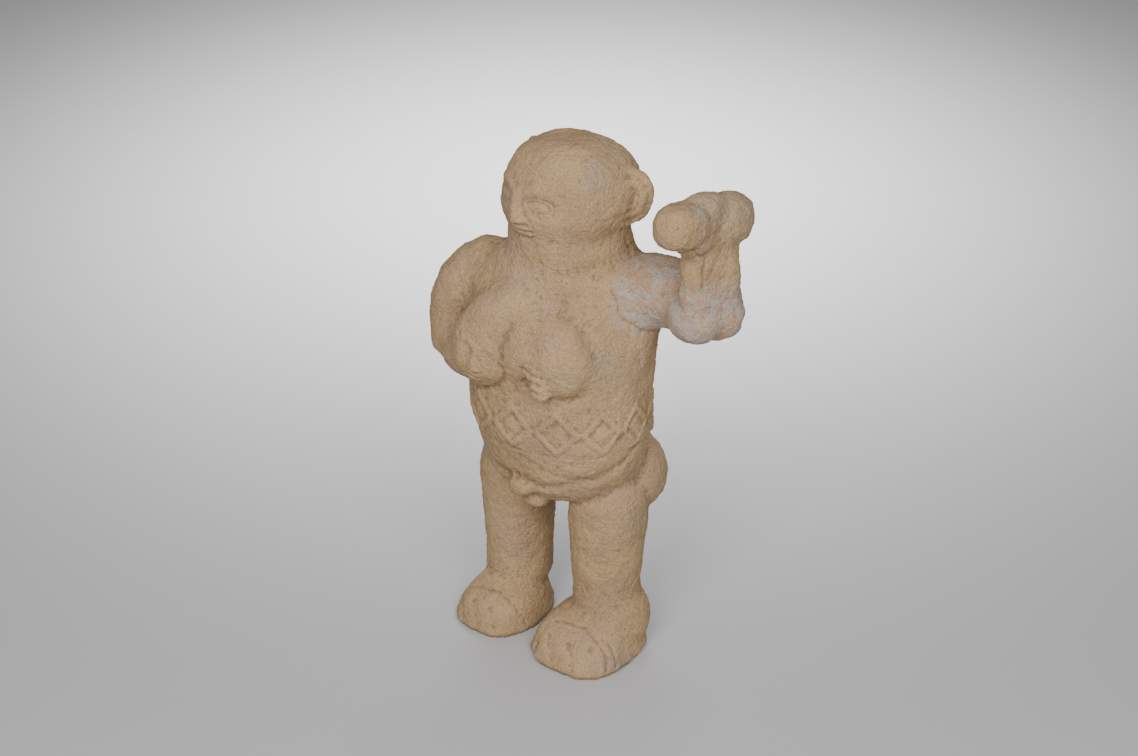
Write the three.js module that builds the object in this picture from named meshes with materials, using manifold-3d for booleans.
// A pre-Columbian warrior carved in the round from one block of volcanic stone.
// The figure stands on two bare feet, raises a double-bitted axe in the left hand, and
// holds a trophy head and the closed right fist against the chest. A belt of lozenges in
// low relief runs round the belly. Everything is one stone, so it is one solid.
// Millimetres, +Z up; the figure faces -Y and its left hand is towards +X.

import * as THREE from 'three';
import { mergeVertices } from 'three/addons/utils/BufferGeometryUtils.js';
import Module from 'manifold-3d';

const wasm = await Module();
wasm.setup();

// Driving sizes
const HEIGHT = 430;               // sole to crown
const HEAD_LOW = 354;             // underside of the chin
const SHOULDER = 338;             // top of the trunk beside the neck
const BELT = { middle: 209.5, high: 37, lozenges: 12, relief: 1.8, phase: -2, rise: 4 };
const CROTCH = 131;               // top of the gap between the legs
const STRIDE = 47;                // each leg's distance from the middle
const STONE = { color: 0xa8906f, roughness: 0.95, metalness: 0 };

const RIGHT = -1;
const LEFT = 1;
const { degToRad, clamp } = THREE.MathUtils;
const point = (x, y, z) => new THREE.Vector3(x, y, z);

// Turns a closed geometry with open seams into a solid.
function solidOf(geometry) {
  geometry.deleteAttribute('normal');
  geometry.deleteAttribute('uv');
  const merged = mergeVertices(geometry, 1e-4);
  return new wasm.Manifold(new wasm.Mesh({
    numProp: 3,
    vertProperties: new Float32Array(merged.attributes.position.array),
    triVerts: new Uint32Array(merged.index.array),
  }));
}

// Moves every point of a ball: place gets the angle round Z and the share of the way down.
function drawnOut(around, along, place) {
  const ball = new THREE.SphereGeometry(1, around, along).rotateX(Math.PI / 2);
  const spots = ball.attributes.position;
  for (let i = 0; i < spots.count; i++) {
    const unit = new THREE.Vector3().fromBufferAttribute(spots, i);
    const share = Math.acos(clamp(unit.z, -1, 1)) / Math.PI;
    const atPole = share < 1e-4 || share > 1 - 1e-4;
    const spot = place(atPole ? 0 : Math.atan2(unit.y, unit.x), share, atPole);
    spots.setXYZ(i, spot.x, spot.y, spot.z);
  }
  return ball;
}

// Smooth value at a share of the way through a list.
function through(values, share) {
  const at = share * (values.length - 1);
  const first = Math.min(Math.floor(at), values.length - 2);
  const t = at - first;
  const [a, b, c, d] = [-1, 0, 1, 2].map((k) => values[clamp(first + k, 0, values.length - 1)]);
  return b + 0.5 * t * (c - a + t * (2 * a - 5 * b + 4 * c - d + t * (3 * (b - c) + d - a)));
}

const flat = () => 0;

// A body built up from level sections, top first: height, half width, half depth,
// sideways and forward shift of its middle, and turn to the left in degrees. raised gives
// the relief on its side at an angle and a height.
function stack(sections, around, between, squareness = 2, raised = flat) {
  const column = (k) => sections.map((row) => row[k]);
  const [heights, widths, depths, asides, aheads, turns] = [0, 1, 2, 3, 4, 5].map(column);
  return drawnOut(around, (sections.length - 1) * between, (angle, share, atPole) => {
    const turn = degToRad(through(turns, share));
    const height = through(heights, share);
    const c = Math.cos(angle);
    const s = Math.sin(angle);
    const reach = (Math.abs(c) ** squareness + Math.abs(s) ** squareness) ** (-1 / squareness);
    const relief = atPole ? 0 : raised(angle, height);
    const x = atPole ? 0 : c * (reach * through(widths, share) + relief);
    const y = atPole ? 0 : s * (reach * through(depths, share) + relief);
    return point(
      x * Math.cos(turn) - y * Math.sin(turn) + through(asides, share),
      x * Math.sin(turn) + y * Math.cos(turn) + through(aheads, share),
      height);
  });
}

// A round-ended limb along a smooth line through points, each [x, y, z, half thickness].
// across is a direction that the line never takes.
function limb(points, around = 16, along = 14, across = point(0, 1, 0)) {
  const line = new THREE.CatmullRomCurve3(points.map(([x, y, z]) => point(x, y, z)));
  const girths = points.map((row) => row[3]);
  const length = line.getLength();
  const capStart = girths[0] / length;
  const capEnd = girths[girths.length - 1] / length;
  return drawnOut(around, along, (angle, share, atPole) => {
    const t = (1 - Math.cos(share * Math.PI)) / 2;
    const tangent = line.getTangent(t);
    const over = across.clone().cross(tangent).normalize();
    const beside = tangent.clone().cross(over);
    let round = 1;
    if (t < capStart) round = Math.sqrt(Math.max(0, 1 - (1 - t / capStart) ** 2));
    if (1 - t < capEnd) round = Math.sqrt(Math.max(0, 1 - (1 - (1 - t) / capEnd) ** 2));
    const r = atPole ? 0 : through(girths, t) * round;
    return line.getPoint(t)
      .addScaledVector(over, r * Math.cos(angle))
      .addScaledVector(beside, -r * Math.sin(angle));
  });
}

// A turn about X, then Y, then Z in degrees, with a shift.
const setting = (at, turns) => new THREE.Matrix4()
  .makeRotationFromEuler(new THREE.Euler(...turns.map(degToRad), 'ZYX')).setPosition(...at);

// A rounded boss: a ball stretched to its three half sizes, turned and put in place.
// Above a squareness of 2 it fills out towards a box.
function boss(at, halves, turns = [0, 0, 0], around = 14, along = 9, squareness = 2) {
  const ball = drawnOut(around, along, (angle, share) => {
    const level = Math.sin(share * Math.PI);
    const unit = [level * Math.cos(angle), level * Math.sin(angle), Math.cos(share * Math.PI)];
    const reach = unit.reduce((sum, v) => sum + Math.abs(v) ** squareness, 0) ** (-1 / squareness);
    return point(...unit.map((v, k) => v * reach * halves[k]));
  });
  return ball.applyMatrix4(setting(at, turns));
}

// Trunk: a barrel, flat across the chest, its shoulder line turned to raise the left arm.
const TRUNK = [
  [SHOULDER + 14, 0, 0, 0, 9, 8],
  [SHOULDER + 12, 36, 30, 0, 9, 8],
  [SHOULDER, 50, 38, -1, 7, 11],
  [326, 65, 43, -1, 3, 14],
  [308, 77, 50, -1, -2, 14],
  [286, 79, 54, 0, -6, 11],
  [262, 78, 56, 0, -8, 7],
  [236, 77.5, 56.5, 0, -9.5, 3],
  [210, 77, 57, 0, -10, 0],
  [186, 74, 56, 1, -9, 0],
  [168, 70, 53, 1, -9, 0],
  [152, 64, 49, 0, -8, 0],
  [140, 52, 38, 0, -8, 0],
  [CROTCH, 0, 0, 0, -9, 0],
];
const TRUNK_SQUARENESS = 2.15;
const trunk = () => stack(TRUNK, 32, 1, TRUNK_SQUARENESS);

// Belt: a band of lozenges with a raised outline and a boss in each, as a thin drum that
// stands just proud of the trunk and rises a few degrees to the left.
function belt() {
  const half = BELT.high / 2;
  const pitch = 2 * Math.PI / BELT.lozenges;
  const first = degToRad(BELT.phase - 90);
  const raised = (angle, height) => {
    const along = 2 * ((((angle - first) / pitch) % 1 + 1.5) % 1 - 0.5);
    const up = (height - BELT.middle) / half;
    const outward = Math.abs(along) + Math.abs(up);
    const outline = 1 - Math.min(1, Math.abs(outward - 1) / 0.3);
    const seed = 0.8 * (1 - Math.min(1, outward / 0.35));
    const low = up < -0.9 ? 0.4 : 0;
    return BELT.relief * Math.max(outline, seed, low);
  };
  const rows = 6;
  const sections = [[BELT.middle + half + 1, 0, 0, 1, -9.5, 0]];
  for (let row = 0; row <= rows; row++) {
    const up = 1 - 2 * row / rows;
    const height = BELT.middle + half * up;
    sections.push([height, 77.5 + up * 0.6, 57.2, 0, -9.6 + up * 0.3, 1 + up]);
  }
  sections.push([BELT.middle - half - 1, 0, 0, 1, -9.5, 0]);
  return stack(sections, rows * BELT.lozenges, 1, TRUNK_SQUARENESS, raised)
    .translate(0, 0, -BELT.middle)
    .rotateY(-degToRad(BELT.rise))
    .translate(0, 0, BELT.middle);
}

// Head: a low broad ball with a flattened crown, set on a short thick neck.
const HEAD = { middle: [2, 0, 391], halves: [51, 49, 38], turns: [0, 0, -12] };
function skull() {
  return stack([
    [HEIGHT, 0, 0, 5, -2, 0],
    [HEIGHT - 1.5, 19, 18, 5, -2, 0],
    [HEIGHT - 7, 35, 33, 5, -1, 0],
    [HEIGHT - 18, 46.5, 44, 4.5, 0.5, 0],
    [HEIGHT - 36, 51.5, 49.5, 3, 1, 0],
    [HEIGHT - 52, 51.5, 50, 1.5, 0, 0],
    [HEIGHT - 64, 47.5, 47, 0.5, 0, 0],
    [HEIGHT - 73, 38, 38, 0, 0, 0],
    [HEAD_LOW, 0, 0, 1, 2, 0],
  ], 24, 2, 2.15);
}

function neck() {
  return stack([
    [HEAD_LOW + 20, 0, 0, 3, 8, 0],
    [HEAD_LOW + 16, 36, 34, 3, 8, 0],
    [HEAD_LOW + 2, 38, 35, 3, 9, 0],
    [HEAD_LOW - 11, 45, 38, 3, 9, 6],
    [HEAD_LOW - 24, 56, 36, 2, 7, 12],
    [HEAD_LOW - 34, 0, 0, 0, 6, 12],
  ], 22, 1);
}

// Ear: a dished lug standing out behind the cheek, with a rounded rim.
function ear(side) {
  const [x, y, z] = HEAD.middle;
  const sweep = side * 45;
  const at = [x + side * 46, y + 12, z];
  const lug = solidOf(boss(at, [20, 8, 23], [0, 0, sweep], 14, 9));
  const dish = solidOf(boss([at[0] + side * 8, at[1] - 7, z], [13, 6, 17], [0, 0, sweep], 12, 7));
  return lug.subtract(dish);
}

// Face: a plain calm one, set on a head of three half sizes that looks along its own -Y.
function face({ middle, halves, turns }) {
  const [wide, deep, high] = halves;
  const on = (x, z, sunk = 0) => {
    const y = -deep * Math.sqrt(Math.max(0, 1 - (x / wide) ** 2 - (z / high) ** 2));
    return [x, y + sunk, z];
  };
  const eye = (side) => boss(on(side * 0.38 * wide, 0.04 * high, 1),
    [0.19 * wide, 0.08 * deep, 0.11 * high], [0, 0, side * 24], 10, 5);
  const brow = limb([
    [...on(-0.6 * wide, 0.18 * high, 0.02 * deep), 0.09 * deep],
    [...on(-0.32 * wide, 0.28 * high, 0.02 * deep), 0.1 * deep],
    [...on(0, 0.22 * high, 0.02 * deep), 0.1 * deep],
    [...on(0.32 * wide, 0.28 * high, 0.02 * deep), 0.1 * deep],
    [...on(0.6 * wide, 0.18 * high, 0.02 * deep), 0.09 * deep],
  ], 6, 10, point(0, 0, 1));
  const nose = limb([
    [...on(0, 0.16 * high), 0.08 * deep],
    [...on(0, -0.1 * high, -0.04 * deep), 0.1 * deep],
    [...on(0, -0.27 * high, -0.08 * deep), 0.14 * deep],
  ], 8, 6, point(1, 0, 0));
  const lip = (up) => boss(on(0, (-0.54 + up * 0.06) * high, 1),
    [0.26 * wide, 0.07 * deep, 0.065 * high], [0, 0, 0], 10, 5);
  const features = [eye(RIGHT), eye(LEFT), brow, nose, lip(1), lip(-1)];
  return features.map((feature) => feature.applyMatrix4(setting(middle, turns)));
}

// Leg: a plain post, fuller at the hip.
function leg(side) {
  const x = side === LEFT ? STRIDE - 2.5 : -STRIDE - 2.5;
  return stack([
    [164, 0, 0, x, -4, 0],
    [160, 18, 20, x, -4, 0],
    [152, 27, 30, x, -4, 0],
    [138, 31, 34, x, -4, 0],
    [116, 32, 33, x, -4, 0],
    [88, 29.5, 30, x, -5, 0],
    [58, 27.5, 28, x, -5, 0],
    [34, 28, 29, x, -5, 0],
    [-6, 0, 0, x, -8, 0],
  ], 18, 1);
}

// Foot: a broad flat wedge, square at the toes and narrower from the instep to the heel.
const INSTEP = -30;
const HEEL = 15;
function foot(side) {
  const [wide, deep, ahead] = side === LEFT ? [40, 45, -23.5] : [34, 42, -25];
  const [x, splay, taper] = side === LEFT ? [42, 0, 0.08] : [-45.5, -3, 0.24];
  const wedge = stack([
    [46, 0, 0, x, -6, splay],
    [41, 18, 20, x, -8, splay],
    [31, wide - 9, deep - 14, x, ahead + 8, splay],
    [20, wide - 3, deep - 5, x, ahead + 2, splay],
    [9, wide, deep, x, ahead, splay],
    [0, wide - 1, deep - 1, x, ahead, splay],
    [-8, 0, 0, x, ahead, splay],
  ], 18, 2, 3);
  const spots = wedge.attributes.position;
  for (let i = 0; i < spots.count; i++) {
    const heelward = clamp((spots.getY(i) - INSTEP) / (HEEL - INSTEP), 0, 1);
    spots.setX(i, x + (spots.getX(i) - x) * (1 - taper * heelward));
  }
  return wedge;
}

const buttock = (side) => boss([side * 37.5, 22, 150], [35, 35, 34], [0, 0, 0], 14, 8);

// Right arm: hangs from the shoulder, bends at the elbow and crosses the chest.
function rightArm() {
  return limb([
    [-46, -2, 306, 27],
    [-70, -12, 303, 28.5],
    [-88, -21, 286, 26.5],
    [-93, -27, 266, 23],
    [-86, -36, 249, 21.5],
    [-64, -43, 246, 18.5],
    [-36, -48, 252, 16],
    [0, -52, 262, 15],
    [28, -52, 270, 15],
  ], 14, 18);
}

// Trophy head: lies on the forearm, its crown swept up towards the middle of the chest.
const TROPHY = { middle: [-40, -60, 266], halves: [24, 22, 34], turns: [0, 10, -24] };
function trophyHead() {
  return [
    boss(TROPHY.middle, TROPHY.halves, TROPHY.turns, 16, 10),
    limb([
      [-41, -57, 262, 21],
      [-32, -57, 281, 24],
      [-14, -53, 297, 25],
      [14, -44, 303, 19],
    ], 12, 9),
  ];
}

// The stone left standing between the trophy head and the fist.
const web = () => boss([4, -51, 275], [26, 17, 29], [0, 0, 0], 12, 7);

// Right fist: a low rounded boss with three curled fingers at its lower edge.
function fist() {
  const palm = boss([30, -55, 273], [26, 18, 31], [0, 14, 0], 14, 9, 2.2);
  const fingers = [0, 1, 2].map((k) => limb([
    [15 + k * 2.5, -64, 268 - k * 7, 5],
    [23 + k * 2.5, -70, 263 - k * 7, 5.5],
    [35 + k * 1.5, -69, 261 - k * 7, 5],
  ], 6, 6));
  return [palm, ...fingers];
}

// Left arm: out level from the shoulder and up from the elbow to the axe.
function leftArm() {
  return [
    limb([
      [40, 12, 313, 30],
      [72, 17, 319, 28.5],
      [102, 20, 319, 25.5],
      [128, 23, 320, 24.5],
      [143, 26, 319, 23],
    ], 16, 10),
    limb([
      [134, 24, 300, 23],
      [129, 17, 328, 19],
      [128, 14, 362, 14],
      [129, 12, 390, 13],
    ], 12, 8),
  ];
}

// Axe: a short round handle that is one mass with the forearm, and two blunt bits, one in
// front and one behind, with the head between them.
function axe() {
  return [
    limb([
      [126, -6, 314, 12],
      [127, -6, 352, 12],
      [129, -5, 384, 13],
      [130, -5, 408, 12],
    ], 12, 8),
    limb([
      [128, 4, 326, 15],
      [128, 4, 360, 13],
      [129, 4, 396, 13],
    ], 8, 5),
    limb([
      [130, -30, 403, 14],
      [130, 0, 405, 14],
      [131, 26, 399, 14],
    ], 10, 5, point(1, 0, 0)),
    boss([129, -28, 402.5], [17, 24, 17], [-8, 0, 0], 16, 10, 2.7),
    boss([131.5, 23, 392], [17, 25, 20], [-8, 0, 0], 16, 10, 2.6),
  ];
}

function sex() {
  return [
    limb([[0, -40, 157, 12], [-2, -56, 153, 12], [-3, -66, 150, 11]], 10, 6, point(1, 0, 0)),
    boss([2, -42, 138], [12, 12, 10], [0, 0, 0], 10, 7),
  ];
}

const ground = solidOf(new THREE.BoxGeometry(600, 600, 100).translate(0, 0, -50));
const pieces = [
  trunk(), belt(), skull(), neck(),
  ...face(HEAD),
  rightArm(), ...trophyHead(), web(),
  ...face(TROPHY),
  ...fist(), ...leftArm(), ...axe(), ...sex(),
  ...[RIGHT, LEFT].flatMap((side) => [leg(side), foot(side), buttock(side)]),
];
const figure = [...pieces.map(solidOf), ear(RIGHT), ear(LEFT)]
  .reduce((whole, piece) => whole.add(piece))
  .subtract(ground);

// Gives the finished solid as a geometry whose origin is under the middle of its box.
function geometryOf(solid) {
  const mesh = solid.getMesh();
  const geometry = new THREE.BufferGeometry();
  geometry.setAttribute('position', new THREE.BufferAttribute(mesh.vertProperties, 3));
  geometry.setIndex(new THREE.BufferAttribute(mesh.triVerts, 1));
  geometry.computeBoundingBox();
  const middle = geometry.boundingBox.getCenter(new THREE.Vector3());
  geometry.translate(-middle.x, -middle.y, 0);
  geometry.computeVertexNormals();
  return geometry;
}

const stone = new THREE.Mesh(geometryOf(figure), new THREE.MeshStandardMaterial(STONE));
stone.name = 'stone_figure';

const group = new THREE.Group();
group.add(stone);

export default group;
